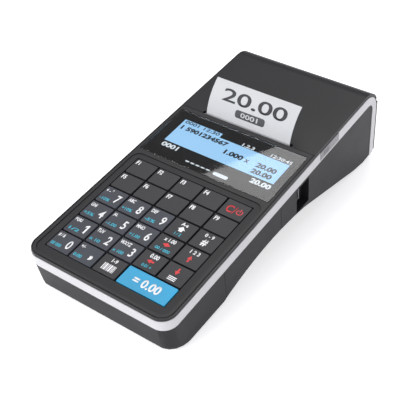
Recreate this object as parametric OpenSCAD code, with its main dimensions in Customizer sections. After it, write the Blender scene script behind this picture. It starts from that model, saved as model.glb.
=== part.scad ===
// Portable thermal-printing cash register.
// Everything is laid out in the deck frame: X across, Y from the front of the band to the rear,
// Z along the deck's normal with the deck's surface at 0. on_table() then tilts that frame, so that
// the case stands on its four feet with the origin under the middle of its box.

/* [Body] */
// Width across the light band
body_w = 92; // [90:1:120]
// Plan radius of the band's front corners
corner_r = 8.4; // [5:0.2:12]
// Depth of the case under the deck at the front feet
front_depth = 29; // [28:0.2:40]
// Depth of the case under the deck at the rear feet
rear_depth = 51.6; // [50:0.2:70]
// Wall of the two moulded cases
wall = 2; // [1.6:0.1:2.6]
// Height of the light band
band_h = 6.6; // [5:0.2:9]
// Thickness of the light band
band_t = 2.6; // [2:0.1:4]

/* [Keypad] */
// Spacing of the key columns
pitch_x = 15.5; // [13:0.1:16]
// Spacing of the key rows
pitch_y = 12.9; // [11:0.1:16]
// Gap between neighbouring keys
key_gap = 1.1; // [0.9:0.1:1.6]
// Thickness of a key cap
key_t = 3; // [2.4:0.1:4]
// Travel of a key
key_travel = 1; // [0.5:0.1:1.2]

/* [Display] */
// Width of the display window
lens_w = 86; // [80:0.5:87]
// Depth of the display window
lens_d = 40.4; // [36:0.2:56]
// Width of the display module
lcd_w = 80; // [70:0.5:81]
// Depth of the display module
lcd_d = 31; // [24:0.5:34]

/* [Printer] */
// Width of the paper
paper_w = 57; // [44:0.5:58]
// Radius of a full paper roll
roll_r = 18; // [12:0.5:21]
// Radius of the roll's core
core_r = 6.5; // [5:0.25:9]
// Radius of the rubber platen
platen_r = 5; // [4:0.1:6]
// Radius of the platen's shaft
shaft_r = 1.5; // [1:0.1:2]
// Length of the paper cover along the deck
cover_l = 73.3; // [68:0.1:95]
// Radius of the cover's rear corner
cover_r = 16; // [14:0.5:20]
// Thickness of the paper cover
cover_t = 1.9; // [1.5:0.1:2]
// Radius of the cover's hinge pin
pin_r = 0.9; // [0.6:0.05:1.2]
// Travel of the release button
release_travel = 1.5; // [1:0.1:2]

/* [Hidden] */
$fn = 48;
fit = 0.3;               // clearance between pieces that move or drop in
run = 0.05;              // radial clearance of a shaft in its bore
eps = 0.01;

// Deck stations along Y and Z
cols = 5;
rows = 6;
rim = 0.4;               // the black top stands in from the band by this much
band_top = 2;
front_y = 1.2;           // front face of the body
band_bottom = band_top + band_h;
keys_y0 = 9.3;
keys_y1 = keys_y0 + rows * pitch_y;
lens_gap = 7.1;
lens_y0 = keys_y1 + lens_gap;
lens_y1 = lens_y0 + lens_d;
bar_d = 3.35;            // crossbar between the display window and the slot
deck_y1 = lens_y1 + bar_d;
slot_w = 2.15;
bar_t = 0.4;             // thickness of the tear bar
slot_half = paper_w / 2 + 2;
cover_y0 = deck_y1 + slot_w;
rear_y = cover_y0 + cover_l;
rear_r = 2.5;            // plan radius of the rear corners

// Light band: it follows the cover's rear corner and ends in two legs
leg_w = 4.9;
leg_y = rear_y - band_top;
corner_y = rear_y - cover_r;
corner_z = -cover_r;
leg_inner_r = 6;

// Underside: front flat, arch, slope, rear flat
foot_front_y = 14;
foot_rear_y = rear_y - 15;
heel_y = 46;
heel_drop = 1.1;
arch_y1 = lens_y0 + 33.2;
arch_rise = 4.6;
slope_y = rear_y - 27;
slope_drop = 2.6;
nose_in = 2.6;           // the front wall leans in by this much
nose_r = 6;
// angle from straight ahead, lean and bottom radius of the nose round a front corner
corner_cuts = [[22.5, 1.3, 5.6], [45, 1.3, 4.8], [65, 1, 3.8], [79, 0.6, 2.4], [86, 0.4, 1.2]];
arch_half = (arch_y1 - heel_y) / 2;
arch_r = (arch_half * arch_half + arch_rise * arch_rise) / (2 * arch_rise);
arch_cy = heel_y + arch_half;
arch_cz = -front_depth - heel_drop + arch_rise - arch_r;
case_in = 0.25;          // the lower case stands in from the band by this much

// Stance
foot_r = 5;
foot_h = 1.8;
foot_proud = 1;
foot_x = body_w / 2 - 19;
tilt = atan((rear_depth - front_depth) / (foot_rear_y - foot_front_y));
floor_z = foot_front_y * sin(tilt) - front_depth * cos(tilt) - foot_proud;
box_y0 = band_top * sin(tilt);
panel_z1 = -rear_depth + 0.8;
panel_in = 0.3;
box_y1 = rear_y * cos(tilt) - panel_z1 * sin(tilt);
foot_y = [for (p = [[foot_front_y, -front_depth], [foot_rear_y, -rear_depth]])
    p[0] * cos(tilt) - p[1] * sin(tilt)];

// Keypad
bezel_in = 2.8;          // width of the rim around the bezel
bezel_z = -0.4;
bezel_t = 2.6;
bezel_w = body_w - 2 * rim - 2 * bezel_in;
bezel_y0 = front_y + rim + bezel_in;
bezel_y1 = keys_y1 + 3.8;
bezel_r = 5;
rib_w = 0.5;
rib_drop = 1.1;
key_z = -0.3;
key_r = 0.7;
deck_t = 4.4;            // depth of the top case's pockets and floor
mat_t = 0.9;
mat_in = 1.2;            // the mat stops short of the front screw columns
mat_z = key_z - key_t - key_travel - fit;
board_z = mat_z - mat_t;
board_t = 1.6;
board_half = cols * pitch_x / 2 + 0.55;
chip = 1.4;

// Display
lens_t = 1.6;
lcd_t = 3.6;
lcd_y0 = lens_y0 + (lens_d - lcd_d) / 2;
board_y0 = 12;
board_y1 = lens_y1 - 8;
board_neck = lcd_w / 2 - 7;

// Battery and its door
door_y0 = heel_y + 2;
door_y1 = lens_y0 + 8.2;
door_gap = 0.15;
battery = [68, 42, 9];
battery_y0 = door_y0 + 5;
battery_z0 = -21.2;

// Side port
port_y0 = door_y1 + 16;
port_y1 = port_y0 + 13;
port_z0 = -28;
port_z1 = -10.5;
port_depth = 5;
usb = [8, 5.6, 13];

// Printer: the sheet rises past the nip on an arc of radius curl_r
curl_r = 30.6;
curl_end = 59;
nip_y = cover_y0 - 2;
nip_z = -9.2;
sheet_t = 0.15;
nip_gap = 0.1;
platen_y = nip_y + sheet_t / 2 + nip_gap + platen_r;
platen_z = nip_z;
head = [paper_w + 2, 3.6, 11];
head_y1 = nip_y - sheet_t / 2 - nip_gap;
cheek_x = paper_w / 2 + 2.3;
cheek_t = 2;
gear_x0 = cheek_x + cheek_t + fit;
gear_t = 3;
arm_x0 = gear_x0 + gear_t + 0.5;
arm_t = 2;
gear_m = 0.5;
gear_play = 0.08;
platen_teeth = 20;
idler_teeth = 24;
pinion_teeth = 12;
idler_y = platen_y;
idler_z = platen_z - (platen_teeth + idler_teeth) * gear_m / 2 - gear_play;
pinion_a = 200;
pinion_d = (idler_teeth + pinion_teeth) * gear_m / 2 + gear_play;
pinion_y = idler_y + pinion_d * cos(pinion_a);
pinion_z = idler_z + pinion_d * sin(pinion_a);
motor_r = 6;
motor_l = 14;
roll_y = rear_y - 16 - roll_r;
roll_z = -roll_r - 4.3;
bay_gap = 0.7;
bay_t = 1.2;
bay_r = roll_r + bay_gap + bay_t;
roller_l = paper_w + 1;

// Cover hinge
rear_lcd = [61, 13];      // glass of the customer display
rear_lcd_z = -31;
rear_board = [68, 20];
hinge_y = rear_y - 1.9;
hinge_z = -11;
knuckle_r = 1.7;
lip_z = -band_bottom + fit;   // lower edge of the cover's rear lip
panel_z0 = hinge_z - 1.8;
pin_l = body_w - 14;
gutter_d = 8;
gutter_half = body_w / 2 - band_t - 0.2;
knuckles = [[0.12, 0.32], [0.36, 0.46]];

// Release button and springs
release_y0 = cover_y0 + 3.4;
release_l = 20.5;
release_z0 = -band_bottom + 1.2;
release_z1 = -band_top - fit;
release_in = 5.2;
spring_r = 1.4;
spring_wire = 0.25;
spring_l = 3.2;
spring_turns = 4;
release_spring_y = release_y0 + release_l - 6.5;
release_spring_z = (release_z0 + release_z1) / 2;
release_face = body_w / 2;

// Fasteners
screw_r = 1.25;
screw_head_r = 2.3;
screw_head_h = 1.8;
screw_l = 8;
boss_r = 2.7;
screw_z = -band_bottom - 4.6;
screw_spots = [[body_w / 2 - 10, 7.6], [body_w / 2 - 6.5, lens_y0 + 13.5]];
boss_tops = [-deck_t, -lens_t - lcd_t - 0.4];
door_screw_x = body_w / 2 - 7.4;
door_screw_y = (door_y0 + door_y1) / 2;

// ---- Frames and outlines ----

// Tilts the deck frame onto the feet and centres the box on the origin
module on_table() {
    translate([0, -(box_y0 + box_y1) / 2, -floor_z]) rotate([tilt, 0, 0]) children();
}

// Extrudes an outline drawn in Y and Z across the body
module across(w) {
    rotate([90, 0, 90]) linear_extrude(height = w, center = true) children();
}

// Extrudes a plan outline between two levels
module between(z0, z1) {
    translate([0, 0, z0]) linear_extrude(height = z1 - z0) children();
}

module block(x0, x1, y0, y1, z0, z1) {
    translate([x0, y0, z0]) cube([x1 - x0, y1 - y0, z1 - z0]);
}

// Cylinder along X between two stations
module rod(x0, x1, y, z, r) {
    translate([x0, y, z]) rotate([0, 90, 0]) cylinder(h = x1 - x0, r = r);
}

module both_sides() {
    for (s = [0, 1]) mirror([s, 0, 0]) children();
}

// Rectangle with rounded corners
module round_rect(x0, x1, y0, y1, r) {
    translate([x0, y0 + r]) square([x1 - x0, y1 - y0 - 2 * r]);
    translate([x0 + r, y0]) square([x1 - x0 - 2 * r, y1 - y0]);
    for (x = [x0 + r, x1 - r], y = [y0 + r, y1 - r]) translate([x, y]) circle(r = r);
}

// Plan of the whole body, moved in at the front and sides
module plan(inset = 0) {
    half = body_w / 2 - inset;
    front = corner_r - inset;
    rear = max(rear_r - inset, 0.4);
    mid = front_y + corner_r;
    translate([-half, mid]) square([2 * half, rear_y - rear - mid]);
    translate([-half + front, front_y + inset]) square([2 * (half - front), 2 * front]);
    translate([-half + rear, rear_y - 3 * rear]) square([2 * (half - rear), 3 * rear]);
    for (s = [-1, 1]) {
        translate([s * (half - front), mid]) circle(r = front);
        translate([s * (half - rear), rear_y - rear]) circle(r = rear);
    }
}

function arc(cy, cz, r, a0, a1, n) =
    [for (i = [0 : n]) let (a = a0 + (a1 - a0) * i / n) [cy + r * cos(a), cz + r * sin(a)]];

// Side outline of the lower case, moved in all round except at its open top
function case_side(inset, top) = concat(
    [[front_y + case_in + inset, top]],
    arc(nose_in + nose_r, -front_depth + nose_r, nose_r - inset, 180, 262, 8),
    [for (i = [0 : 12]) let (y = heel_y + 2 * arch_half * i / 12, r = arch_r + inset)
        [y, arch_cz + sqrt(r * r - (y - arch_cy) * (y - arch_cy))]],
    [[slope_y, -rear_depth + slope_drop + inset],
     [foot_rear_y, -rear_depth + inset],
     [leg_y - inset, -rear_depth + inset],
     [leg_y - inset, top]]);

// Waste round a front corner, standing across the direction a from straight ahead
module corner_waste(a, lean, r, inset) {
    r0 = corner_r - case_in;
    r1 = max(r - inset, 0.3);
    edge = r0 - lean - r;
    turn = 90 - tilt * cos(a);
    low = -front_depth + r - r1 * sin(turn);
    outline = concat([[r0 - inset, -band_bottom]], arc(edge, -front_depth + r, r1, 0, -turn, 6),
        [[edge + r1 * cos(turn), low - 6], [40, low - 6], [40, -band_bottom]]);
    rotate([0, 0, a - 90]) translate([0, 0, -front_depth]) rotate([-tilt * sin(a), 0, 0])
        translate([0, 0, front_depth]) rotate([90, 0, 0])
            linear_extrude(height = 120, center = true) polygon(outline);
}

// The nose carries round both front corners and fades out along the sides
module case_block(inset, top) {
    difference() {
        intersection() {
            across(body_w) polygon(case_side(inset, top));
            between(-rear_depth - 5, 5) plan(case_in + inset);
        }
        both_sides() translate([body_w / 2 - corner_r, front_y + corner_r, 0])
            for (c = corner_cuts) corner_waste(c[0], c[1], c[2], inset);
    }
}

// Slab across the whole body between two stations
module slab(y0, y1) {
    block(-body_w, body_w, y0, y1, -2 * rear_depth, rear_depth);
}

// ---- Lower case ----

module band_side() {
    corner_out = cover_r - band_top;
    polygon(concat(
        [[-5, -band_bottom], [-5, -band_top]],
        arc(corner_y, corner_z, corner_out, 90, 0, 12),
        [[leg_y, -rear_depth], [leg_y - leg_w, -rear_depth]],
        arc(leg_y - leg_w - leg_inner_r, -band_bottom - leg_inner_r, leg_inner_r, 0, 90, 8)));
}

module trim_band() color([0.9, 0.9, 0.92]) on_table() difference() {
    intersection() {
        across(body_w) band_side();
        between(-rear_depth, 0) plan();
    }
    between(-rear_depth - 1, 1) plan(band_t);
    block(release_face - 4, release_face + 1, release_y0 - fit, release_y0 + release_l + fit,
        release_z0 - fit, 0);
}

// Step-in wall that carries the battery door
module door_wall() {
    inner = 2 * wall + fit;
    intersection() {
        difference() {
            case_block(wall + fit, -band_bottom);
            case_block(inner, 0);
        }
        slab(door_y0 - wall, door_y1 + wall);
    }
    for (y = [door_y0 - wall, door_y1]) intersection() {
        difference() {
            case_block(0, -band_bottom);
            case_block(inner, 0);
        }
        slab(y, y + wall);
    }
}

module screw_hole(x, y, z) {
    translate([x, y, z - eps]) cylinder(h = screw_l + 0.2, r = screw_r + run);
    translate([x, y, -rear_depth - 5]) cylinder(h = z + rear_depth + 5, r = screw_head_r + 0.2);
}

module foot_pads(r, z0, z1) {
    for (x = [-foot_x, foot_x], y = foot_y)
        translate([x, y - (box_y0 + box_y1) / 2, z0]) cylinder(h = z1 - z0, r = r);
}

module lower_housing() color([0.25, 0.25, 0.27]) difference() {
    union() {
        on_table() {
            difference() {
                case_block(0, -band_bottom);
                case_block(wall, 0);
                slab(door_y0, door_y1);
            }
            door_wall();
            // gutter in front of the hinge, which keeps dust out of the case
            block(-gutter_half, gutter_half, rear_y - gutter_d - 1.2, rear_y - gutter_d, panel_z0 - 2.2, -8);
            block(-gutter_half, gutter_half, rear_y - gutter_d - 1.2, leg_y - wall + eps, panel_z0 - 2.2,
                panel_z0 - 1);
            // pocket behind the side port
            intersection() {
                block(body_w / 2 - port_depth - 2 * wall, body_w / 2, port_y0 - wall, port_y1 + wall,
                    port_z0 - wall, -band_bottom);
                case_block(0, -band_bottom);
            }
            // screw columns
            both_sides() for (p = screw_spots) intersection() {
                translate([p[0], p[1], -rear_depth]) cylinder(h = rear_depth - band_bottom, r = boss_r + 1);
                case_block(eps, -band_bottom);
            }
            both_sides() intersection() {
                translate([door_screw_x, door_screw_y, -rear_depth])
                    cylinder(h = rear_depth - 13, r = boss_r);
                case_block(wall + fit, -band_bottom);
            }
        }
        intersection() {
            foot_pads(foot_r + 1.5, foot_proud, 12);
            on_table() between(-rear_depth - 5, 0) plan(case_in + wall / 2);
            on_table() across(body_w) polygon(concat(case_side(-2, 0)));
        }
    }
    on_table() {
        both_sides() for (p = screw_spots) screw_hole(p[0], p[1], screw_z);
        both_sides() screw_hole(door_screw_x, door_screw_y, -22);
        // opening for the battery
        block(-battery[0] / 2 - 1, battery[0] / 2 + 1, battery_y0 - 1, battery_y0 + battery[1] + 1,
            -rear_depth, battery_z0 + 2);
        // side port
        block(body_w / 2 - port_depth, body_w, port_y0, port_y1, port_z0, port_z1);
        block(body_w / 2 - port_depth - 2 * wall - 1, body_w / 2,
            (port_y0 + port_y1 - usb[1]) / 2, (port_y0 + port_y1 + usb[1]) / 2,
            (port_z0 + port_z1 - usb[2]) / 2, (port_z0 + port_z1 + usb[2]) / 2);
        // window for the customer display
        block(-rear_lcd[0] / 2 - 0.5, rear_lcd[0] / 2 + 0.5, rear_y - 12, rear_y,
            rear_lcd_z - rear_lcd[1] / 2 - 0.5, rear_lcd_z + rear_lcd[1] / 2 + 0.5);
        // room for the hinge
        block(-body_w / 2 + band_t, body_w / 2 - band_t, rear_y - gutter_d, rear_y, panel_z0 - 1, 0);
        // room for the band's legs
        both_sides() intersection() {
            block(body_w / 2 - band_t - 0.1, body_w, corner_y - 10, rear_y, -rear_depth - 1, 1);
            across(4 * body_w) band_side();
        }
    }
    foot_pads(foot_r + 0.1, -1, foot_h);
}

module battery_door() color([0.24, 0.24, 0.26]) on_table() difference() {
    intersection() {
        difference() {
            case_block(0, -band_bottom - door_gap);
            case_block(wall, 0);
        }
        slab(door_y0 + door_gap, door_y1 - door_gap);
    }
    both_sides() screw_hole(door_screw_x, door_screw_y, -22);
}

module rubber_feet() color([0.1, 0.1, 0.1]) foot_pads(foot_r, 0, foot_h);

module screw(x, y, z) {
    translate([x, y, z]) cylinder(h = screw_l, r = screw_r);
    translate([x, y, z - screw_head_h]) difference() {
        cylinder(h = screw_head_h, r = screw_head_r);
        translate([0, 0, -eps]) cylinder(h = 1, r = 1, $fn = 6);
    }
}

module housing_screws() color([0.55, 0.55, 0.58]) on_table() both_sides() {
    for (p = screw_spots) screw(p[0], p[1], screw_z);
    screw(door_screw_x, door_screw_y, -22);
}

module usb_port() color([0.8, 0.8, 0.82]) on_table() {
    x1 = body_w / 2 - port_depth + 0.6;
    y0 = (port_y0 + port_y1 - usb[1]) / 2;
    z0 = (port_z0 + port_z1 - usb[2]) / 2;
    difference() {
        block(x1 - usb[0], x1, y0, y0 + usb[1], z0, z0 + usb[2]);
        block(x1 - usb[0] + 1, x1 + 1, y0 + 0.4, y0 + usb[1] - 0.4, z0 + 0.4, z0 + usb[2] - 0.4);
    }
    block(x1 - usb[0] + 0.9, x1 - 0.5, y0 + 1.2, y0 + 2.9, z0 + 1, z0 + usb[2] - 1);
}

// ---- Top case ----

module upper_housing() color([0.16, 0.16, 0.17]) on_table() difference() {
    union() {
        between(-band_top, 0) plan(rim);
        between(-deck_t, -band_top) plan(band_t + 0.15);
        difference() {
            between(-band_bottom + 0.1, -deck_t) plan(band_t + 0.15);
            between(-band_bottom, 0) plan(band_t + 0.15 + 1.5);
        }
        both_sides() for (i = [0, 1]) intersection() {
            translate([screw_spots[i][0], screw_spots[i][1], -band_bottom])
                cylinder(h = band_bottom + boss_tops[i], r = boss_r);
            between(-band_bottom, 0) plan(band_t + 0.15);
        }
    }
    slab(deck_y1, 2 * rear_y);
    block(-body_w, body_w, deck_y1 - 2, 2 * rear_y, -rear_depth, -band_top);
    // line along the rounded edge
    difference() {
        between(-0.5, 1) plan(rim + 0.5);
        between(-1, 2) plan(rim + 0.9);
    }
    // pocket for the bezel, and the opening under it
    between(bezel_z - bezel_t, 1)
        round_rect(-bezel_w / 2, bezel_w / 2, bezel_y0, bezel_y1, bezel_r);
    between(-deck_t - 1, 1) round_rect(-cols * pitch_x / 2 - 1.2, cols * pitch_x / 2 + 1.2,
        keys_y0 - 1.2, keys_y1 + 1.2, 1);
    // pocket for the window, and the opening under it
    between(-lens_t, 1)
        round_rect(-lens_w / 2 - 0.2, lens_w / 2 + 0.2, lens_y0 - 0.2, lens_y1 + 0.2, 1.2);
    block(-lcd_w / 2 - 0.3, lcd_w / 2 + 0.3, lcd_y0 - 0.3, lcd_y0 + lcd_d + 0.3, -deck_t - 1, 0);
    both_sides() for (p = screw_spots)
        translate([p[0], p[1], -rear_depth]) cylinder(h = rear_depth - 4.6, r = screw_r);
}

module keypad_bezel() color([0.18, 0.18, 0.19]) on_table() difference() {
    between(bezel_z - bezel_t, bezel_z) round_rect(-bezel_w / 2 + 0.15, bezel_w / 2 - 0.15,
        bezel_y0 + 0.15, bezel_y1 - 0.15, bezel_r - 0.15);
    // key window above the guide ribs
    block(-cols * pitch_x / 2, cols * pitch_x / 2, keys_y0, keys_y1, bezel_z - rib_drop, 1);
    for (r = [0 : rows - 1], c = [0 : cols - 1]) if (r > 0 || c < 3) key_well(c, r, 1);
    key_well(3, 0, 2);
}

// Opening for one key in the grid of guide ribs; row 0 is the front one
module key_well(c, r, span) {
    x0 = (c - cols / 2) * pitch_x + rib_w / 2;
    y0 = keys_y0 + r * pitch_y + rib_w / 2;
    block(x0, x0 + span * pitch_x - rib_w, y0, y0 + pitch_y - rib_w, bezel_z - bezel_t - 1, 1);
}

// A key cap; row 0 is the front one
module key_cap(c, r, tint = [0.22, 0.22, 0.23], span = 1) {
    x0 = (c - cols / 2) * pitch_x + key_gap / 2;
    y0 = keys_y0 + r * pitch_y + key_gap / 2;
    color(tint) on_table() between(key_z - key_t, key_z)
        round_rect(x0, x0 + span * pitch_x - key_gap, y0, y0 + pitch_y - key_gap, key_r);
}

module digit_key(c, r) {
    key_cap(c, r, [0.31, 0.32, 0.35]);
}

// Rubber mat with one contact dome under each key
module keypad_mat() color([0.35, 0.35, 0.37]) on_table() {
    between(mat_z - mat_t, mat_z - 0.3) round_rect(-cols * pitch_x / 2, cols * pitch_x / 2,
        keys_y0 + mat_in, keys_y1, 1.5);
    for (r = [0 : rows - 1], c = [0 : cols - 1]) if (r > 0 || c < 4)
        translate([(c + 0.5 - cols / 2) * pitch_x, keys_y0 + (r + 0.5) * pitch_y, mat_z - mat_t])
            cylinder(h = mat_t, r = 3);
}

// Stepped board with the processor, memory, fiscal module, drivers and buzzer on its underside
module main_board() color([0.1, 0.35, 0.2]) on_table() difference() {
    under = board_z - board_t;
    union() {
        block(-board_half, board_half, board_y0, keys_y1 + 3, under, board_z);
        block(-board_neck, board_neck, keys_y1 + 2, board_y1, under, board_z);
        block(-8, 6, lens_y0 - 2, lens_y0 + 12, under - chip, under);
        block(12, 24, lens_y0, lens_y0 + 8, under - chip, under);
        block(-30, -14, lens_y0 + 2, lens_y0 + 20, under - 3 * chip, under);
        for (i = [0 : 3]) block(-30 + 9 * i, -24 + 9 * i, 20, 25, under - chip, under);
        translate([20, 24, under - 3 * chip]) cylinder(h = 3 * chip, r = 6);
    }
    both_sides() translate([board_neck - 5, board_y1 - 3, under - 5]) cylinder(h = 10, r = 1.2);
}

module display_lens() color([0.06, 0.06, 0.07]) on_table()
    between(-lens_t, 0) round_rect(-lens_w / 2, lens_w / 2, lens_y0, lens_y1, 1);

module lcd_module() color([0.6, 0.8, 0.95]) on_table() difference() {
    block(-lcd_w / 2, lcd_w / 2, lcd_y0, lcd_y0 + lcd_d, -lens_t - lcd_t, -lens_t);
    // the glass sits in a metal frame
    difference() {
        block(-lcd_w / 2 - 1, lcd_w / 2 + 1, lcd_y0 - 1, lcd_y0 + lcd_d + 1, -lens_t - 0.2, 0);
        block(-lcd_w / 2 + 2, lcd_w / 2 - 2, lcd_y0 + 2, lcd_y0 + lcd_d - 2, -lens_t - 1, 0);
    }
}

module battery_pack() color([0.15, 0.25, 0.5]) on_table() {
    cell_r = battery[2] / 2;
    y0 = battery_y0;
    block(-battery[0] / 2, battery[0] / 2, y0, y0 + battery[1], battery_z0 + cell_r - 1,
        battery_z0 + cell_r + 1);
    for (i = [0 : 3]) rod(-battery[0] / 2, battery[0] / 2,
        y0 + cell_r + i * (battery[1] - 2 * cell_r) / 3, battery_z0 + cell_r, cell_r);
}

// ---- Printer ----

// Spur gear across X, with straight flanks
module gear(teeth, phase, y, z, bore) {
    r = teeth * gear_m / 2;
    half_tip = 0.17;
    half_root = 0.55;
    pts = [for (i = [0 : teeth - 1], k = [-1, 1], e = [0, 1])
        let (at_root = (k < 0) == (e == 0), rr = at_root ? r - 0.6 : r + 0.45,
             a = phase + 360 * i / teeth + k * (at_root ? half_root : half_tip) / r * 180 / PI)
        [rr * cos(a), rr * sin(a)]];
    translate([-gear_x0 - gear_t / 2, y, z]) across(gear_t) difference() {
        polygon(pts);
        circle(r = bore);
    }
}

idler_near = round(pinion_a * idler_teeth / 360) * 360 / idler_teeth;
pinion_phase = pinion_a - 180 - (idler_near - pinion_a) * idler_teeth / pinion_teeth
    + 180 / pinion_teeth;

module motor_pinion() color([0.85, 0.85, 0.8]) on_table()
    gear(pinion_teeth, pinion_phase, pinion_y, pinion_z, 0.8 + run);

module idler_gear() color([0.85, 0.85, 0.8]) on_table()
    gear(idler_teeth, 90, idler_y, idler_z, shaft_r + run);

module platen_gear() color([0.85, 0.85, 0.8]) on_table()
    gear(platen_teeth, -90 + 180 / platen_teeth, platen_y, platen_z, shaft_r);

module platen_shaft() color([0.75, 0.75, 0.78]) on_table()
    rod(-arm_x0 - arm_t, arm_x0 + arm_t, platen_y, platen_z, shaft_r);

module platen_roller() color([0.12, 0.12, 0.12]) on_table() difference() {
    rod(-roller_l / 2, roller_l / 2, platen_y, platen_z, platen_r);
    rod(-roller_l, roller_l, platen_y, platen_z, shaft_r);
}

module feed_motor() color([0.6, 0.6, 0.62]) on_table() {
    rod(-cheek_x + eps, -cheek_x + motor_l, pinion_y, pinion_z, motor_r);
    rod(-gear_x0 - gear_t, -cheek_x + 1, pinion_y, pinion_z, 0.8);
    rod(-cheek_x + motor_l - eps, -cheek_x + motor_l + 1.2, pinion_y, pinion_z, 2);
}

// Outline of the paper bay: a half round under straight walls
module bay_side(r, top) {
    translate([roll_y, roll_z]) circle(r = r);
    translate([roll_y - r, roll_z]) square([2 * r, top - roll_z]);
}

module printer_frame() color([0.3, 0.3, 0.31]) on_table() {
    cheek_y0 = head_y1 - head[1] - spring_l - 4;
    bay_top = -5.5;
    // paper bay with closed ends
    difference() {
        across(2 * (cheek_x + cheek_t)) bay_side(bay_r, bay_top);
        across(2 * cheek_x - 0.6) bay_side(bay_r - bay_t, 0);
    }
    // cheeks of the mechanism, joined to the bay
    both_sides() difference() {
        translate([cheek_x + cheek_t / 2, 0, 0]) across(cheek_t)
            polygon([[cheek_y0, -7.5], [cheek_y0, -27.5], [roll_y - bay_r + 4, -34],
                [roll_y - bay_r + 4, bay_top], [platen_y - 4, bay_top], [platen_y - 6, -7.5]]);
        // slot that the platen's shaft lifts out of
        rod(0, body_w, platen_y, platen_z, shaft_r + 0.6);
        block(0, body_w, platen_y - shaft_r - 0.6, platen_y + shaft_r + 1.2, platen_z, 0);
        rod(0, body_w, pinion_y, pinion_z, 1.2);
        across(3 * body_w) bay_side(bay_r - eps, 0);
    }
    // axle of the idler gear
    rod(-gear_x0 - gear_t, -cheek_x - 1, idler_y, idler_z, shaft_r);
    // cross wall that the head's springs push against
    difference() {
        block(-cheek_x - 1, cheek_x + 1, cheek_y0, cheek_y0 + 1.6, -16.8, -7.5);
        block(-10, 10, cheek_y0 - 1, cheek_y0 + 3, -14, -7);
    }
    // post behind the release button's spring
    block(cheek_x + cheek_t - 1, release_face - release_in - spring_l - 0.1, release_spring_y - 3,
        release_spring_y + 3, -13, -2.8);
}

module print_head() color([0.7, 0.7, 0.72]) on_table() difference() {
    block(-head[0] / 2, head[0] / 2, head_y1 - head[1], head_y1, -5.5 - head[2], -5.5);
    for (x = [-20 : 8 : 20]) block(x - 1.5, x + 1.5, head_y1 - head[1] - 1, head_y1 - 2.2,
        -15, -9);
}

// Open coil along Z from the origin, drawn at its pressed length
module coil() {
    sides = 6;
    per_turn = 10;
    n = spring_turns * per_turn;
    rise = (spring_l - 2 * spring_wire) / n;
    pts = [for (i = [0 : n], k = [0 : sides - 1]) let (a = 360 * i / per_turn, b = 360 * k / sides)
        [(spring_r + spring_wire * cos(b)) * cos(a), (spring_r + spring_wire * cos(b)) * sin(a),
         spring_wire + i * rise + spring_wire * sin(b)]];
    skin = [for (i = [0 : n - 1], k = [0 : sides - 1])
        [i * sides + k, i * sides + (k + 1) % sides, (i + 1) * sides + (k + 1) % sides,
         (i + 1) * sides + k]];
    ends = [[for (k = [sides - 1 : -1 : 0]) k], [for (k = [0 : sides - 1]) n * sides + k]];
    polyhedron(pts, concat(skin, ends));
}

module compression_springs() color([0.8, 0.8, 0.82]) on_table() {
    for (x = [-20, 20]) translate([x, head_y1 - head[1] - 0.05, -12]) rotate([90, 0, 0]) coil();
    translate([release_face - release_in - spring_l, release_spring_y, release_spring_z])
        rotate([0, 90, 0]) coil();
}

module tear_bar() color([0.2, 0.2, 0.2]) on_table() {
    tooth = 1.5;
    n = floor((paper_w + 2) / tooth);
    translate([0, deck_y1 + bar_t, 0]) rotate([90, 0, 0]) linear_extrude(height = bar_t)
        polygon(concat([[-n * tooth / 2, -1.4]],
            [for (i = [0 : n - 1], k = [0, 1]) [(i - n / 2 + k / 2) * tooth, -0.3 + 0.6 * k]],
            [[n * tooth / 2, -0.3], [n * tooth / 2, -1.4]]));
}

module paper_roll() color([0.93, 0.93, 0.9]) on_table() difference() {
    rod(-paper_w / 2, paper_w / 2, roll_y, roll_z, roll_r);
    rod(-paper_w, paper_w, roll_y, roll_z, core_r);
}

module roll_core() color([0.6, 0.5, 0.4]) on_table() difference() {
    rod(-paper_w / 2, paper_w / 2, roll_y, roll_z, core_r);
    rod(-paper_w, paper_w, roll_y, roll_z, core_r - 1);
}

// Sheet from the nip up through the slot, curling back over the cover
module receipt() color([0.95, 0.95, 0.95]) on_table() across(paper_w)
    polygon(concat(
        arc(nip_y + curl_r, nip_z, curl_r + sheet_t / 2, 180, 180 - curl_end, 16),
        arc(nip_y + curl_r, nip_z, curl_r - sheet_t / 2, 180 - curl_end, 180, 16)));

// ---- Cover, hinge and rear ----

// Angle at which an arc about the rear corner reaches the lip's edge
function lip_angle(r) = asin((lip_z - corner_z) / r);

module paper_cover() color([0.15, 0.15, 0.16]) on_table() difference() {
    union() {
        intersection() {
            across(body_w) polygon(concat(
                [[deck_y1 + fit, -cover_t], [deck_y1 + fit, 0]],
                arc(corner_y, corner_z, cover_r, 90, lip_angle(cover_r), 10),
                arc(corner_y, corner_z, cover_r - cover_t, lip_angle(cover_r - cover_t), 90, 10)));
            between(-rear_depth, 1) plan(rim);
        }
        // arms that hold the platen's shaft
        both_sides() translate([arm_x0 + arm_t / 2, 0, 0]) across(arm_t) {
            polygon([[platen_y - 2.2, -cover_t + eps], [platen_y - 3, platen_z],
                [platen_y + 3, platen_z], [platen_y + 7, -cover_t + eps]]);
            translate([platen_y, platen_z]) circle(r = 3);
        }
        // stiffening ribs
        both_sides() for (x = [12, 26]) block(x, x + 1.2, cover_y0 + 14, corner_y - 6, -3.4, -1);
        // moving knuckles
        both_sides() hinge_knuckle(knuckles[0], 1);
    }
    both_sides() rod(arm_x0 - 1, arm_x0 + arm_t + 1, platen_y, platen_z, shaft_r + run);
    rod(-pin_l, pin_l, hinge_y, hinge_z, pin_r + run);
    // notch that leaves the slot for the paper
    block(-slot_half, slot_half, 0, cover_y0, -cover_t - 1, 1);
}

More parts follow.
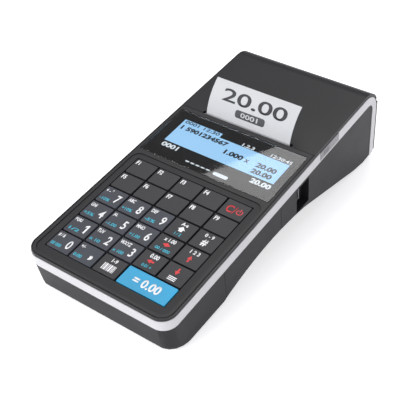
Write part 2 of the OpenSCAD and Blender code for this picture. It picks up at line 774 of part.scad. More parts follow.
// Barrel on the hinge axis with a web up to the cover or down to the panel
module hinge_knuckle(k, up) {
    x0 = k[0] * pin_l;
    x1 = k[1] * pin_l;
    rod(x0, x1, hinge_y, hinge_z, knuckle_r);
    if (up > 0) block(x0, x1, hinge_y - knuckle_r, hinge_y - 0.4, hinge_z, lip_z + 0.4);
    else block(x0, x1, hinge_y - 0.2, hinge_y + knuckle_r, panel_z0 - 1, hinge_z);
}

module hinge_pin() color([0.8, 0.8, 0.82]) on_table()
    rod(-pin_l / 2, pin_l / 2, hinge_y, hinge_z, pin_r);

module rear_panel() color([0.05, 0.05, 0.06]) on_table() difference() {
    union() {
        block(-body_w / 2 + panel_in, body_w / 2 - panel_in, leg_y, rear_y, panel_z1, panel_z0);
        both_sides() hinge_knuckle(knuckles[1], -1);
    }
    rod(-pin_l, pin_l, hinge_y, hinge_z, pin_r);
}

module customer_display() color([0.5, 0.6, 0.55]) on_table() {
    block(-rear_lcd[0] / 2, rear_lcd[0] / 2, leg_y - wall - 0.5, leg_y,
        rear_lcd_z - rear_lcd[1] / 2, rear_lcd_z + rear_lcd[1] / 2);
    block(-rear_board[0] / 2, rear_board[0] / 2, leg_y - wall - 3.4, leg_y - wall - 0.2,
        rear_lcd_z - rear_board[1] / 2, rear_lcd_z + rear_board[1] / 2);
}

module cover_release() color([0.6, 0.6, 0.62]) on_table() difference() {
    block(release_face - release_in, release_face, release_y0, release_y0 + release_l,
        release_z0, release_z1);
    // pocket that closes over the spring
    rod(0, release_face - release_in + release_travel + 0.2, release_spring_y, release_spring_z,
        spring_r + spring_wire + 0.2);
    // grip grooves
    for (i = [0 : 3]) block(release_face - 0.3, release_face + 1, release_y0 + 4 + 1.6 * i,
        release_y0 + 4.8 + 1.6 * i, release_z0 + 0.8, release_z1 - 0.8);
}

lower_housing();
battery_door();
trim_band();
upper_housing();
keypad_bezel();
keypad_mat();
main_board();
display_lens();
lcd_module();
battery_pack();
usb_port();
rubber_feet();
housing_screws();
printer_frame();
print_head();
compression_springs();
tear_bar();
feed_motor();
motor_pinion();
idler_gear();
platen_gear();
platen_shaft();
platen_roller();
paper_roll();
roll_core();
receipt();
paper_cover();
hinge_pin();
rear_panel();
customer_display();
cover_release();

key_cap(0, 5);  // key_f1
key_cap(1, 5);  // key_f2
key_cap(2, 5);  // key_f3
key_cap(3, 5);  // key_f4
key_cap(4, 5);  // key_clear
key_cap(0, 4);  // key_f5
key_cap(1, 4);  // key_f6
key_cap(2, 4);  // key_f7
key_cap(3, 4);  // key_f8
key_cap(4, 4);  // key_f9
digit_key(0, 3);  // key_7
digit_key(1, 3);  // key_8
digit_key(2, 3);  // key_9
key_cap(3, 3);  // key_shift
key_cap(4, 3);  // key_id
digit_key(0, 2);  // key_4
digit_key(1, 2);  // key_5
digit_key(2, 2);  // key_6
key_cap(3, 2);  // key_quantity
key_cap(4, 2);  // key_up
digit_key(0, 1);  // key_1
digit_key(1, 1);  // key_2
digit_key(2, 1);  // key_3
key_cap(3, 1);  // key_price
key_cap(4, 1);  // key_down
digit_key(0, 0);  // key_0
digit_key(1, 0);  // key_comma
key_cap(2, 0);  // key_code
key_cap(3, 0, [0.17, 0.6, 0.85], 2);  // key_total
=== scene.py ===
import math

import bmesh
import bpy
from mathutils import Matrix, Vector


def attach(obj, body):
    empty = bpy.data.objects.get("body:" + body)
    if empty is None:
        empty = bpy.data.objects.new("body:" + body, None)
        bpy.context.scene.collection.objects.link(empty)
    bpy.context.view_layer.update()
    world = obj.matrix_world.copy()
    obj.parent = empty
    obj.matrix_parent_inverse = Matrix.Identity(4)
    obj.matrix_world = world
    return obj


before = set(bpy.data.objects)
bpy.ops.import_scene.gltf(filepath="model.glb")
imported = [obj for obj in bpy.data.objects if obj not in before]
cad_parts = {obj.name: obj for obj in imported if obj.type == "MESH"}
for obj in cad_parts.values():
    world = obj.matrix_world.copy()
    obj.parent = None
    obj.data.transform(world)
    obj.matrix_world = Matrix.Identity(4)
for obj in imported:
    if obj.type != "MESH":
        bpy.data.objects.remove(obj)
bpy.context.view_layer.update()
MM = 0.001

# ---- Camera and studio ----
# A pale sweep under a wide soft box that hangs behind the left shoulder of the register.
# The room is a soft white, and two weaker panels light the front and the right side.
camera_data = bpy.data.cameras.new("camera")
camera_data.lens = 74.97
camera_data.sensor_width = 36.0
camera_data.clip_start = 0.01
camera = bpy.data.objects.new("camera", camera_data)
camera.location = (0.220914, -0.318720, 0.320447)
camera.rotation_euler = [math.radians(a) for a in (50.99977, 0.21569, 35.56507)]
bpy.context.scene.collection.objects.link(camera)
bpy.context.scene.camera = camera
bpy.context.scene.view_settings.view_transform = "Standard"
bpy.context.scene.view_settings.look = "None"

room = bpy.data.worlds.new("room")
room.use_nodes = True
room.node_tree.nodes["Background"].inputs["Color"].default_value = (0.95, 0.955, 1.0, 1.0)
room.node_tree.nodes["Background"].inputs["Strength"].default_value = 0.38
bpy.context.scene.world = room


def panel(name, place, towards, size, power):
    """A rectangular soft box at a place, facing a point."""
    light = bpy.data.lights.new(name, "AREA")
    light.shape = "RECTANGLE"
    light.size, light.size_y = size
    light.energy = power
    o = bpy.data.objects.new(name, light)
    aim = (Vector(towards) - Vector(place)).to_track_quat("-Z", "Y").to_matrix().to_4x4()
    o.matrix_world = Matrix.Translation(place) @ aim
    bpy.context.scene.collection.objects.link(o)
    return o


# the soft box's left edge is the line where the window's reflection turns bright
edge_mid = Vector((-0.680, 0.823, 1.200))
edge_dir = Vector((0.571, 0.821, 0.0)).normalized()
inward = Vector((0.821, -0.571, 0.0)).normalized()
soft_size = (0.70, 1.40)
key_data = bpy.data.lights.new("soft_box", "AREA")
key_data.shape = "RECTANGLE"
key_data.size, key_data.size_y = soft_size
key_data.energy = 12.0
key_light = bpy.data.objects.new("soft_box", key_data)
axes = Matrix((inward, edge_dir, inward.cross(edge_dir))).transposed().to_4x4()
key_light.matrix_world = Matrix.Translation(edge_mid + inward * soft_size[0] / 2) @ axes
bpy.context.scene.collection.objects.link(key_light)

panel("front_fill", (-0.5, -1.1, 0.5), (0.0, 0.0, 0.03), (0.9, 0.6), 13.0)
panel("side_fill", (1.5, -0.75, 1.0), (0.0, 0.0, 0.03), (0.9, 0.9), 16.0)

bpy.ops.object.select_all(action="DESELECT")
bpy.ops.mesh.primitive_plane_add(size=4.0)
floor = bpy.context.object
floor.name = "floor"
sweep = bpy.data.materials.new("pale_sweep")
sweep.use_nodes = True
sweep_nodes, sweep_links = sweep.node_tree.nodes, sweep.node_tree.links
sweep_place = sweep_nodes.new("ShaderNodeTexCoord")
sweep_noise = sweep_nodes.new("ShaderNodeTexNoise")
sweep_noise.inputs["Scale"].default_value = 400.0
sweep_bump = sweep_nodes.new("ShaderNodeBump")
sweep_bump.inputs["Distance"].default_value = 0.00002
sweep_links.new(sweep_place.outputs["Object"], sweep_noise.inputs["Vector"])
sweep_links.new(sweep_noise.outputs["Fac"], sweep_bump.inputs["Height"])
sweep_links.new(sweep_bump.outputs["Normal"], sweep_nodes["Principled BSDF"].inputs["Normal"])
sweep_nodes["Principled BSDF"].inputs["Base Color"].default_value = (0.93, 0.93, 0.94, 1.0)
sweep_nodes["Principled BSDF"].inputs["Roughness"].default_value = 0.9
sweep_nodes["Principled BSDF"].inputs["Emission Color"].default_value = (1.0, 1.0, 1.0, 1.0)
sweep_nodes["Principled BSDF"].inputs["Emission Strength"].default_value = 0.45
sweep_nodes["Principled BSDF"].inputs["Specular IOR Level"].default_value = 0.1
floor.data.materials.append(sweep)

# ---- Lower case and battery door ----
# Two injection moulded ABS shells in charcoal, with a fine spark-eroded grain. The battery
# door is a U-shaped piece that drops into a stepped opening and is held by two screws.


def moulded(name, colour, rough, grain=0.35, depth=0.012, mottle=0.10, specular=0.4, metal=0.0):
    """A solid material with fine grain, a broad mottle in its colour and uneven gloss."""
    made = bpy.data.materials.new(name)
    made.use_nodes = True
    nodes, links = made.node_tree.nodes, made.node_tree.links
    shader = nodes["Principled BSDF"]
    place = nodes.new("ShaderNodeTexCoord")
    fine = nodes.new("ShaderNodeTexNoise")
    fine.inputs["Scale"].default_value = 1.0 / (grain * MM)
    fine.inputs["Detail"].default_value = 3.0
    broad = nodes.new("ShaderNodeTexNoise")
    broad.inputs["Scale"].default_value = 45.0
    broad.inputs["Detail"].default_value = 4.0
    tone = nodes.new("ShaderNodeValToRGB")
    tone.color_ramp.elements[0].position = 0.3
    tone.color_ramp.elements[1].position = 0.7
    tone.color_ramp.elements[0].color = [c * (1 - mottle) for c in colour] + [1.0]
    tone.color_ramp.elements[1].color = [c * (1 + mottle) for c in colour] + [1.0]
    gloss = nodes.new("ShaderNodeMapRange")
    gloss.inputs["To Min"].default_value = rough - 0.07
    gloss.inputs["To Max"].default_value = rough + 0.07
    bump = nodes.new("ShaderNodeBump")
    bump.inputs["Distance"].default_value = depth * MM
    links.new(place.outputs["Object"], fine.inputs["Vector"])
    links.new(place.outputs["Object"], broad.inputs["Vector"])
    links.new(broad.outputs["Fac"], tone.inputs["Fac"])
    links.new(tone.outputs["Color"], shader.inputs["Base Color"])
    links.new(broad.outputs["Fac"], gloss.inputs["Value"])
    links.new(gloss.outputs["Result"], shader.inputs["Roughness"])
    links.new(fine.outputs["Fac"], bump.inputs["Height"])
    links.new(bump.outputs["Normal"], shader.inputs["Normal"])
    shader.inputs["Specular IOR Level"].default_value = specular
    shader.inputs["Metallic"].default_value = metal
    return made


def finish(o, material):
    """Gives a piece its one material."""
    o.data.materials.clear()
    o.data.materials.append(material)
    return o


def soften(node, material, width, angle=35):
    """Rounds the edges of a CAD node as its tool leaves them, and gives it its material."""
    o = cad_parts[node]
    o.modifiers.new("weld", "WELD").merge_threshold = 0.000002
    flat = o.modifiers.new("flat", "DECIMATE")
    flat.decimate_type = "DISSOLVE"
    flat.angle_limit = math.radians(0.6)
    edge = o.modifiers.new("edge", "BEVEL")
    edge.width = width * MM
    edge.segments = 3
    edge.limit_method = "ANGLE"
    edge.angle_limit = math.radians(angle)
    even = o.modifiers.new("even", "WEIGHTED_NORMAL")
    even.weight = 100
    o.data.polygons.foreach_set("use_smooth", [True] * len(o.data.polygons))
    return finish(o, material)


case_plastic = moulded("case_plastic", (0.0095, 0.0092, 0.0118), 0.46, grain=0.4, depth=0.02, specular=0.18)
soften("lower_housing", case_plastic, 0.35)
soften("battery_door", case_plastic, 0.3)

# ---- Feet, screws, battery and side port ----
# Rubber pads in round recesses, zinc plated screws, a sleeve of four cells behind the door,
# and a stamped steel connector shell at the bottom of its recess in the right wall.
rubber = moulded("foot_rubber", (0.012, 0.012, 0.012), 0.85, grain=0.25, depth=0.04)
soften("rubber_feet", rubber, 0.3)
zinc = moulded("zinc_plate", (0.55, 0.55, 0.57), 0.34, grain=0.2, depth=0.004, metal=1.0)
soften("housing_screws", zinc, 0.08)
sleeve = moulded("battery_sleeve", (0.03, 0.07, 0.24), 0.36, grain=1.2, depth=0.02)
soften("battery_pack", sleeve, 0.2)
steel_shell = moulded("connector_steel", (0.74, 0.74, 0.76), 0.28, grain=0.3, depth=0.004, metal=1.0)
soften("usb_port", steel_shell, 0.08)

# ---- Board and key mat ----
# A green glass-fibre board with its parts on the underside, and a silicone mat with one
# contact dome under each key.
board_green = moulded("board_green", (0.01, 0.09, 0.035), 0.4, grain=0.8, depth=0.01)
soften("main_board", board_green, 0.1)
silicone = moulded("grey_silicone", (0.09, 0.09, 0.1), 0.7, grain=0.3, depth=0.02)
soften("keypad_mat", silicone, 0.15)

# ---- Light band ----
# A strip of pale grey polycarbonate clamped between the two cases, which runs round the front
# and along both sides, and turns down into the legs at the rear corners.
band_plastic = moulded("band_plastic", (0.455, 0.455, 0.472), 0.33, grain=0.5, depth=0.006, mottle=0.03)
soften("trim_band", band_plastic, 0.35)

# ---- Top case and keypad bezel ----
# Black ABS with a softer sheen than the lower case. The bezel is a separate plate that drops
# into the top case and guides the keys between thin ribs.
top_plastic = moulded("top_plastic", (0.0085, 0.0085, 0.010), 0.42, grain=0.3, depth=0.012, specular=0.3)
soften("upper_housing", top_plastic, 0.45)
bezel_plastic = moulded("bezel_plastic", (0.0105, 0.0105, 0.012), 0.5, grain=0.3, depth=0.014, specular=0.3)
soften("keypad_bezel", bezel_plastic, 0.15)

# ---- Display module, printed window and what the display shows ----
# A back-lit liquid crystal module in a pressed frame under a clear acrylic window. The window
# is printed black on its underside around the lit field. The display shows amounts.
# The deck's own frame in millimetres: X across, Y up the deck from its front edge, Z out of it.
tilt = math.radians(7.0023)
DECK = Matrix.Translation((0.0, -0.1089362, 0.0280770)) @ Matrix.Rotation(tilt, 4, "X")
window_y = (93.8, 134.2)
window_x = 43.0
lit_x = (-36.0, -9.5, 37.5)
lit_y = (107.4, 124.7, 128.2)
print_z = -1.58


def alone(*objs):
    """Selects only these, the first one active."""
    bpy.ops.object.select_all(action="DESELECT")
    for o in objs:
        o.select_set(True)
    bpy.context.view_layer.objects.active = objs[0]


def seat(o, name, body="chassis"):
    """Moves a piece modelled in deck millimetres to its place and lets it ride on a body."""
    o.matrix_world = DECK @ Matrix.Diagonal((MM, MM, MM, 1.0)) @ o.matrix_world
    alone(o)
    bpy.ops.object.transform_apply(location=True, rotation=True, scale=True)
    o.name = name
    o.data.name = name
    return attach(o, body)


pressed_frame = moulded("display_frame", (0.30, 0.31, 0.33), 0.35, grain=0.4, depth=0.006, metal=1.0)
soften("lcd_module", pressed_frame, 0.1)

acrylic = bpy.data.materials.new("window_acrylic")
acrylic.use_nodes = True
nodes, links = acrylic.node_tree.nodes, acrylic.node_tree.links
shader = nodes["Principled BSDF"]
shader.inputs["Base Color"].default_value = (1.0, 1.0, 1.0, 1.0)
shader.inputs["Transmission Weight"].default_value = 1.0
shader.inputs["IOR"].default_value = 1.49
haze_place = nodes.new("ShaderNodeTexCoord")
haze = nodes.new("ShaderNodeTexNoise")
haze.inputs["Scale"].default_value = 60.0
haze.inputs["Detail"].default_value = 5.0
haze_range = nodes.new("ShaderNodeMapRange")
haze_range.inputs["To Min"].default_value = 0.0
haze_range.inputs["To Max"].default_value = 0.06
links.new(haze_place.outputs["Object"], haze.inputs["Vector"])
links.new(haze.outputs["Fac"], haze_range.inputs["Value"])
links.new(haze_range.outputs["Result"], shader.inputs["Roughness"])
soften("display_lens", acrylic, 0.2)

bpy.ops.object.select_all(action="DESELECT")
bpy.ops.mesh.primitive_plane_add(size=1.0)
window_print = bpy.context.object
window_print.matrix_world = Matrix.Translation(
    (0.0, sum(window_y) / 2, print_z)
) @ Matrix.Diagonal((2 * window_x - 0.6, window_y[1] - window_y[0] - 0.6, 1.0, 1.0))
bpy.ops.object.transform_apply(location=True, rotation=True, scale=True)
bpy.ops.object.mode_set(mode="EDIT")
for x in lit_x:
    bpy.ops.mesh.select_all(action="SELECT")
    bpy.ops.mesh.bisect(plane_co=(x, 0, 0), plane_no=(1, 0, 0))
for y in lit_y:
    bpy.ops.mesh.select_all(action="SELECT")
    bpy.ops.mesh.bisect(plane_co=(0, y, 0), plane_no=(0, 1, 0))
bpy.ops.mesh.select_all(action="DESELECT")
shape = bmesh.from_edit_mesh(window_print.data)
for face in shape.faces:
    c = face.calc_center_median()
    main = lit_x[0] < c.x < lit_x[2] and lit_y[0] < c.y < lit_y[1]
    tab = lit_x[0] < c.x < lit_x[1] and lit_y[1] < c.y < lit_y[2]
    face.select = main or tab
bmesh.update_edit_mesh(window_print.data)
bpy.ops.mesh.separate(type="SELECTED")
bpy.ops.object.mode_set(mode="OBJECT")
lit_field = [o for o in bpy.context.selected_objects if o != window_print][0]
for o, name in ((window_print, "window_print"), (lit_field, "lit_field")):
    alone(o)
    bpy.ops.object.mode_set(mode="EDIT")
    bpy.ops.mesh.select_all(action="SELECT")
    bpy.ops.mesh.dissolve_limited(angle_limit=0.01)
    bpy.ops.object.mode_set(mode="OBJECT")
    thick = o.modifiers.new("thick", "SOLIDIFY")
    thick.thickness = 0.02
    thick.offset = -1.0
    bpy.ops.object.modifier_apply(modifier="thick")
    seat(o, name)
finish(window_print, moulded("window_black", (0.003, 0.003, 0.003), 0.6, grain=0.5, depth=0.0, specular=0.1))


def glowing(name, colour, strength, cells=0.0):
    """Light from a display, a little uneven, with its cells' grid showing faintly."""
    made = bpy.data.materials.new(name)
    made.use_nodes = True
    nodes, links = made.node_tree.nodes, made.node_tree.links
    shader = nodes["Principled BSDF"]
    shader.inputs["Base Color"].default_value = (0.02, 0.02, 0.02, 1.0)
    shader.inputs["Emission Strength"].default_value = strength
    shader.inputs["Roughness"].default_value = 0.6
    place = nodes.new("ShaderNodeTexCoord")
    cloud = nodes.new("ShaderNodeTexNoise")
    cloud.inputs["Scale"].default_value = 30.0
    tone = nodes.new("ShaderNodeValToRGB")
    tone.color_ramp.elements[0].color = [c * 0.94 for c in colour] + [1.0]
    tone.color_ramp.elements[1].color = [min(1.0, c * 1.06) for c in colour] + [1.0]
    links.new(place.outputs["Object"], cloud.inputs["Vector"])
    links.new(cloud.outputs["Fac"], tone.inputs["Fac"])
    if cells:
        grid = nodes.new("ShaderNodeTexBrick")
        grid.offset = 0.0
        grid.inputs["Scale"].default_value = 1.0 / (cells * MM)
        grid.inputs["Mortar Size"].default_value = 0.06
        grid.inputs["Brick Width"].default_value = 1.0
        grid.inputs["Row Height"].default_value = 1.0
        grid.inputs["Mortar"].default_value = (0.82, 0.82, 0.82, 1.0)
        grid.inputs["Color1"].default_value = (1.0, 1.0, 1.0, 1.0)
        grid.inputs["Color2"].default_value = (0.97, 0.97, 0.97, 1.0)
        mix = nodes.new("ShaderNodeMix")
        mix.data_type = "RGBA"
        mix.blend_type = "MULTIPLY"
        mix.inputs["Factor"].default_value = 1.0
        links.new(place.outputs["Object"], grid.inputs["Vector"])
        links.new(tone.outputs["Color"], mix.inputs["A"])
        links.new(grid.outputs["Color"], mix.inputs["B"])
        links.new(mix.outputs["Result"], shader.inputs["Emission Color"])
    else:
        links.new(tone.outputs["Color"], shader.inputs["Emission Color"])
    return made


finish(lit_field, glowing("back_light", (0.33, 0.64, 1.0), 1.0, cells=0.33))


def typed(text, x, y, z, height, squeeze=0.8, width=None, weight=0.0, across="CENTER"):
    """Digits or signs as a flat mesh in deck millimetres, cap height given."""
    bpy.ops.object.select_all(action="DESELECT")
    bpy.ops.object.text_add()
    o = bpy.context.object
    o.data.body = text
    o.data.align_x = across
    o.data.align_y = "CENTER"
    o.data.resolution_u = 3 if height < 4 else 10
    o.data.offset = weight
    o.data.extrude = 0.0
    bpy.ops.object.convert(target="MESH")
    tall = max(v.co.y for v in o.data.vertices) - min(v.co.y for v in o.data.vertices)
    wide = max(v.co.x for v in o.data.vertices) - min(v.co.x for v in o.data.vertices)
    up = height / tall
    along = width / wide if width else up * squeeze
    mid = (max(v.co.y for v in o.data.vertices) + min(v.co.y for v in o.data.vertices)) / 2
    o.matrix_world = Matrix.Translation((x, y - mid * up, z)) @ Matrix.Diagonal((along, up, 1.0, 1.0))
    bpy.ops.object.transform_apply(location=True, rotation=True, scale=True)
    return o


def printed(o, thick):
    """Turns a flat print's faces up and gives them the thickness of ink."""
    alone(o)
    bpy.ops.object.mode_set(mode="EDIT")
    bpy.ops.mesh.select_mode(type="FACE")
    bpy.ops.mesh.select_all(action="DESELECT")
    shape = bmesh.from_edit_mesh(o.data)
    shape.normal_update()
    for face in shape.faces:
        face.select = face.normal.z < 0
    bmesh.update_edit_mesh(o.data)
    bpy.ops.mesh.flip_normals()
    bpy.ops.object.mode_set(mode="OBJECT")
    ink = o.modifiers.new("ink", "SOLIDIFY")
    ink.thickness = thick
    ink.offset = 1.0
    bpy.ops.object.modifier_apply(modifier="ink")


def marks(name, pieces, material, thick=0.006):
    """Joins flat marks, gives them the thickness of ink and seats them."""
    alone(*pieces)
    if len(pieces) > 1:
        bpy.ops.object.join()
    o = bpy.context.object
    printed(o, thick)
    finish(o, material)
    return seat(o, name)


mark_z = print_z + 0.002
dark_cells = moulded("dark_cells", (0.004, 0.008, 0.02), 0.5, grain=0.3, depth=0.0)
# pale glowing cells: real backlight where the display shows text, and a painted glow on the window's printed
# badge and bars
backlight_and_painted_glow = glowing("backlight_and_painted_glow", (0.80, 0.88, 0.95), 0.85)
marks("display_amounts", [
    typed("0001 12:30", -34.8, 126.6, mark_z, 2.6, width=24.0, across="LEFT", weight=0.02),
    typed("1 5901234567", -35.0, 121.6, mark_z, 3.8, width=32.5, across="LEFT", weight=0.05),
    typed("1.000", 5.4, 116.3, mark_z, 3.9, width=12.4, weight=0.05),
    typed("x", 15.0, 115.7, mark_z, 2.6, width=2.8, weight=0.03),
    typed("20.00", 27.6, 116.2, mark_z, 3.9, width=12.8, weight=0.05),
    typed("20.00", 27.6, 111.0, mark_z, 3.9, width=12.8, weight=0.05),
], dark_cells)
marks("display_total", [
    typed("20.00", 31.4, 104.3, mark_z, 3.9, width=12.8, weight=0.05),
    typed("0001", -35.2, 104.4, mark_z, 3.7, width=11.2, across="LEFT", weight=0.04),
    typed("1.2.3", 4.6, 126.3, mark_z, 2.6, width=8.0, across="LEFT", weight=0.03),
    typed("12:30:45", 23.4, 126.6, mark_z, 2.6, width=13.6, across="LEFT", weight=0.02),
], backlight_and_painted_glow)

# ---- Keys and their legends ----
# Moulded caps that stand just below the bezel. Number keys are a lighter blue grey, the total
# key is light blue, and the legends are pad printed digits and signs.
cell_w, cell_d = 15.5, 12.9
keys_y0 = 9.3
key_top = -0.3
ink_rise = 0.03
dark_cap = moulded("dark_cap", (0.019, 0.019, 0.0225), 0.52, grain=0.25, depth=0.012)
digit_cap = moulded("digit_cap", (0.038, 0.041, 0.053), 0.55, grain=0.25, depth=0.02, mottle=0.25)
total_cap = moulded("total_cap", (0.012, 0.29, 0.52), 0.42, grain=0.25, depth=0.012)
white_ink = moulded("white_ink", (0.80, 0.80, 0.82), 0.5, grain=0.3, depth=0.002, mottle=0.05)
teal_ink = moulded("teal_ink", (0.05, 0.38, 0.50), 0.5, grain=0.3, depth=0.002, mottle=0.08)
red_ink = moulded("red_ink", (0.60, 0.03, 0.035), 0.5, grain=0.3, depth=0.002, mottle=0.08)
inks = {"w": white_ink, "t": teal_ink, "r": red_ink}


def outline(points, x, y):
    """A flat printed shape from its corners, about a point."""
    mesh = bpy.data.meshes.new("outline")
    mesh.from_pydata([(x + p[0], y + p[1], key_top) for p in points], [], [range(len(points))])
    o = bpy.data.objects.new("outline", mesh)
    bpy.context.scene.collection.objects.link(o)
    return o


def ring(x, y, r, t, a0, a1, n=16):
    """Part of a flat printed ring, in degrees."""
    points = []
    for radius, steps in ((r, range(n + 1)), (r - t, range(n, -1, -1))):
        for i in steps:
            a = math.radians(a0 + (a1 - a0) * i / n)
            points.append((radius * math.cos(a), radius * math.sin(a)))
    return outline(points, x, y)


def box_mark(x, y, w, h):
    return outline([(-w / 2, -h / 2), (w / 2, -h / 2), (w / 2, h / 2), (-w / 2, h / 2)], x, y)


def badge(x, y, w, h, r, n=6):
    """A flat block with round ends."""
    points = []
    for cx, cy, a0 in ((w / 2 - r, h / 2 - r, 0), (-w / 2 + r, h / 2 - r, 90),
                       (-w / 2 + r, -h / 2 + r, 180), (w / 2 - r, -h / 2 + r, 270)):
        for i in range(n + 1):
            a = math.radians(a0 + 90 * i / n)
            points.append((cx + r * math.cos(a), cy + r * math.sin(a)))
    o = outline(points, x, y)
    for v in o.data.vertices:
        v.co.z = 0.0
    return o


def legend(key, column, row, groups):
    """Prints a key's marks: each group is an ink and a function that makes its shapes."""
    x0 = (column - 2.5) * cell_w
    y0 = keys_y0 + row * cell_d
    parts = []
    for ink, make in groups:
        made = make(x0, y0)
        alone(*made)
        if len(made) > 1:
            bpy.ops.object.join()
        o = bpy.context.object
        finish(o, inks[ink])
        parts.append(o)
    alone(*parts)
    if len(parts) > 1:
        bpy.ops.object.join()
    o = bpy.context.object
    printed(o, ink_rise)
    seat(o, "legend_" + key, "key_" + key)


for i in range(9):
    name = "f%d" % (i + 1)
    column, row = (i, 5) if i < 4 else (i - 4, 4)
    legend(name, column, row, [
        ("w", lambda x, y, n=name: [typed(n.upper(), x + 1.6, y + 9.7, key_top, 3.1, 0.75, across="LEFT",
                                          weight=0.03)]),
    ])
digit_marks = [
    ("7", 0, 3, "+ - *", "-10%"), ("8", 1, 3, "ABC", "+10%"), ("9", 2, 3, "DEF", "-5%"),
    ("4", 0, 2, "GHI", "+5%"), ("5", 1, 2, "JKL", "-1.00"), ("6", 2, 2, "MNO", "+1.00"),
    ("1", 0, 1, "PQRS", "1/2"), ("2", 1, 1, "TUV", "x 10"), ("3", 2, 1, "WXYZ", "x 100"),
    ("0", 0, 0, "# / &", "00 000"),
]
for key, column, row, small, teal in digit_marks:
    legend(key, column, row, [
        ("w", lambda x, y, k=key, s=small: [
            typed(k, x + 11.5, y + 6.3, key_top, 5.9, 0.72, weight=0.018) if k != "1" else
            outline([(0.45, -2.95), (0.45, 2.95), (-0.4, 2.95), (-1.65, 1.95), (-1.65, 0.95), (-0.5, 1.75),
                     (-0.5, -2.95)], x + 11.9, y + 6.3),
            typed(s, x + 1.5, y + 9.9, key_top, 2.5, 0.66, across="LEFT", weight=0.03)]),
        ("t", lambda x, y, s=teal: [
            typed(s, x + 1.5, y + 3.5, key_top, 2.2, width=6.6, across="LEFT", weight=0.03)]),
    ])
legend("comma", 1, 0, [
    ("w", lambda x, y: [typed(",", x + 11.2, y + 5.2, key_top, 3.2, 1.0, weight=0.05),
                        typed("+/-", x + 1.5, y + 9.9, key_top, 2.2, 0.8, across="LEFT", weight=0.03)]),
    ("t", lambda x, y: [
        typed("0.00", x + 1.5, y + 3.5, key_top, 2.2, width=5.2, across="LEFT", weight=0.03)
    ]),
])
legend("clear", 4, 5, [
    ("r", lambda x, y: [typed("C", x + 5.0, y + 6.2, key_top, 5.2, 0.85, weight=0.02),
                        typed("/", x + 8.1, y + 6.2, key_top, 5.4, 0.7, weight=0.01),
                        ring(x + 11.1, y + 6.0, 1.9, 0.55, 125, 415),
                        box_mark(x + 11.1, y + 7.4, 0.55, 2.2)]),
])
legend("shift", 3, 3, [
    ("w", lambda x, y: [typed("A-a", x + 7.7, y + 10.2, key_top, 2.5, 0.85, weight=0.03),
                        outline([(-1.1, -1.5), (1.1, -1.5), (1.1, 0), (2.2, 0), (0, 2.1), (-2.2, 0),
                                 (-1.1, 0)], x + 7.7, y + 6.3)]),
    ("t", lambda x, y: [typed("1 / 2", x + 7.7, y + 2.9, key_top, 2.0, 0.9, weight=0.03)]),
])
legend("id", 4, 3, [
    ("w", lambda x, y: [typed("0 - 9", x + 7.7, y + 9.9, key_top, 2.5, 0.9, weight=0.03),
                        typed("#", x + 7.7, y + 4.9, key_top, 4.6, 0.85, weight=0.03)]),
])
legend("quantity", 3, 2, [
    ("w", lambda x, y: [typed("x 1.00", x + 7.7, y + 10.2, key_top, 2.6, 0.8, weight=0.03)]),
    ("r", lambda x, y: [outline([(-2.3, 0), (0, -1.3), (2.3, 0), (0, 1.3)], x + 7.7, y + 6.7)]),
    ("t", lambda x, y: [typed("00 / 000", x + 7.7, y + 3.1, key_top, 2.0, width=9.0, weight=0.03)]),
])
legend("price", 3, 1, [
    ("w", lambda x, y: [typed("0.00", x + 7.7, y + 10.1, key_top, 2.9, 0.8, weight=0.03)]),
    ("r", lambda x, y: [outline([(-2.3, 0), (0.2, -1.4), (0.2, -0.5), (2.0, -0.5), (2.0, 0.5), (0.2, 0.5),
                                 (0.2, 1.4)], x + 7.7, y + 6.6)]),
    ("t", lambda x, y: [typed("0.01 +", x + 7.7, y + 3.1, key_top, 2.0, 0.85, weight=0.03)]),
])
legend("up", 4, 2, [
    ("w", lambda x, y: [typed("1 2 3", x + 7.7, y + 9.9, key_top, 2.6, 0.9, weight=0.03)]),
    ("r", lambda x, y: [outline([(-1.4, 0), (-0.5, 0), (-0.5, -2.0), (0.5, -2.0), (0.5, 0), (1.4, 0),
                                 (0, 2.4)], x + 7.7, y + 4.9)]),
])
legend("down", 4, 1, [
    ("r", lambda x, y: [outline([(-1.4, 0), (0, -2.4), (1.4, 0), (0.5, 0), (0.5, 2.0), (-0.5, 2.0),
                                 (-0.5, 0)], x + 7.7, y + 8.4)]),
    ("w", lambda x, y: [box_mark(x + 7.7, y + 4.3 - 1.0 * k, 4.6, 0.5) for k in range(3)]),
])
bars = [
    (0.0, 0.5), (0.9, 0.3), (1.5, 0.8), (2.7, 0.3), (3.4, 0.5),
    (4.3, 0.9), (5.6, 0.3), (6.2, 0.5), (7.1, 0.3),
]
legend("code", 2, 0, [
    ("w", lambda x, y: [typed("1-9", x + 7.7, y + 10.2, key_top, 2.5, 0.9, weight=0.03)]
        + [box_mark(x + 4.0 + a + w / 2, y + 5.2, w, 4.4) for a, w in bars]),
])
legend("total", 3, 0, [
    ("w", lambda x, y: [typed("= 0.00", x + 15.4, y + 6.4, key_top, 5.4, width=16.5, weight=0.03)]),
])

# the window's own mark, a pale badge and a row of bars on the back of the acrylic; this print is no lamp, and
# the glow it takes from the display's material is a painted glow
window_badge = [badge(9.2, 98.4, 9.6, 2.6, 1.2)]
window_bars = [box_mark(-13.4 + 3.5 * k, 98.8, 2.4, 1.0) for k in range(5)]
# the badge and bars are print outside the lit field, so their emission is painted light
for name, shapes in (("window_badge", window_badge), ("window_bars", window_bars)):
    for o in shapes:
        for v in o.data.vertices:
            v.co.z = mark_z
    marks(name, shapes, backlight_and_painted_glow)

digit_keys = ("7", "8", "9", "4", "5", "6", "1", "2", "3", "0", "comma")
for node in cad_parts:
    if node.startswith("key_"):
        kind = node[4:]
        cap = total_cap if kind == "total" else digit_cap if kind in digit_keys else dark_cap
        soften(node, cap, 0.2)

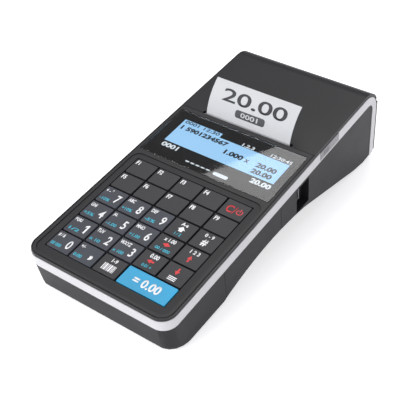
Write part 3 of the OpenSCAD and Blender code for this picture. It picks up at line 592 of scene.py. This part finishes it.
# ---- Printer mechanism ----
# A moulded frame with the paper bay, the thermal head on its springs, a stepper with a train
# of acetal gears, and the platen on its steel shaft. They lie under the cover.
frame_plastic = moulded("frame_plastic", (0.05, 0.05, 0.055), 0.55, grain=0.4, depth=0.02)
soften("printer_frame", frame_plastic, 0.2)
head_metal = moulded("head_metal", (0.62, 0.62, 0.65), 0.3, grain=0.3, depth=0.004, metal=1.0)
for node in ("print_head", "tear_bar", "compression_springs", "platen_shaft", "hinge_pin"):
    finish(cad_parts[node], head_metal)
finish(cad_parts["feed_motor"], zinc)
acetal = moulded("gear_acetal", (0.72, 0.71, 0.66), 0.4, grain=0.5, depth=0.006)
for node in ("motor_pinion", "idler_gear", "platen_gear"):
    finish(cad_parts[node], acetal)
platen_rubber = moulded("platen_rubber", (0.014, 0.014, 0.014), 0.7, grain=0.2, depth=0.02)
finish(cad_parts["platen_roller"], platen_rubber)
paper = moulded("thermal_paper", (0.50, 0.505, 0.52), 0.62, grain=0.5, depth=0.008, mottle=0.02)
finish(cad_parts["paper_roll"], paper)
card = moulded("core_card", (0.32, 0.22, 0.12), 0.8, grain=0.6, depth=0.03)
finish(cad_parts["roll_core"], card)

# ---- Receipt ----
# Thermal paper that comes up past the platen and curls back over the cover, with an amount
# and a number block printed on it.
finish(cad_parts["receipt"], paper)
curl = 30.6
curl_y, curl_z = 137.7 + curl, -9.2
lift = 0.10
print_reach = (10, 31)  # the stretch of paper that carries print, cut every millimetre


def curled(o):
    """Bends a flat print, drawn across and along the paper, round the curl of the sheet."""
    alone(o)
    bpy.ops.object.mode_set(mode="EDIT")
    for station in range(*print_reach):
        bpy.ops.mesh.select_all(action="SELECT")
        bpy.ops.mesh.bisect(plane_co=(0, station, 0), plane_no=(0, 1, 0))
    bpy.ops.object.mode_set(mode="OBJECT")
    for v in o.data.vertices:
        a = math.pi - v.co.y / curl
        reach = curl + lift + v.co.z
        v.co = (v.co.x, curl_y + reach * math.cos(a), curl_z + reach * math.sin(a))
    return o


thermal_black = moulded("thermal_black", (0.035, 0.035, 0.04), 0.5, grain=0.3, depth=0.002, mottle=0.2)
printed_total = typed("20.00", 1.0, 23.6, 0.0, 7.6, width=43.0, weight=0.012)
printed_block = badge(0.5, 15.2, 20.0, 4.6, 1.6)
printed_number = typed("0001", 0.5, 15.2, 0.035, 2.8, width=11.6, weight=0.02)
for name, o, ink in (
    ("receipt_total", printed_total, thermal_black),
    ("receipt_block", printed_block, thermal_black),
    ("receipt_number", printed_number, paper),
):
    printed(o, ink_rise)
    curled(o)
    finish(o, ink)
    seat(o, name, "paper_cover")

# ---- Paper cover, rear panel and release button ----
# The cover is one black moulding that rolls over the rear edge to its hinge, where a steel pin
# joins it to the rear panel. The release button slides in the right wall.
cover_plastic = moulded("cover_plastic", (0.0085, 0.0085, 0.010), 0.40, grain=0.3, depth=0.012, specular=0.25)
soften("paper_cover", cover_plastic, 0.3)
panel_gloss = moulded("panel_gloss", (0.005, 0.005, 0.006), 0.34, grain=2.0, depth=0.004, specular=0.2)
soften("rear_panel", panel_gloss, 0.25)
rear_glass = moulded("rear_glass", (0.10, 0.13, 0.11), 0.2, grain=0.5, depth=0.002)
finish(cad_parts["customer_display"], rear_glass)
button_plastic = moulded("button_plastic", (0.20, 0.20, 0.215), 0.42, grain=0.3, depth=0.01)
soften("cover_release", button_plastic, 0.15)
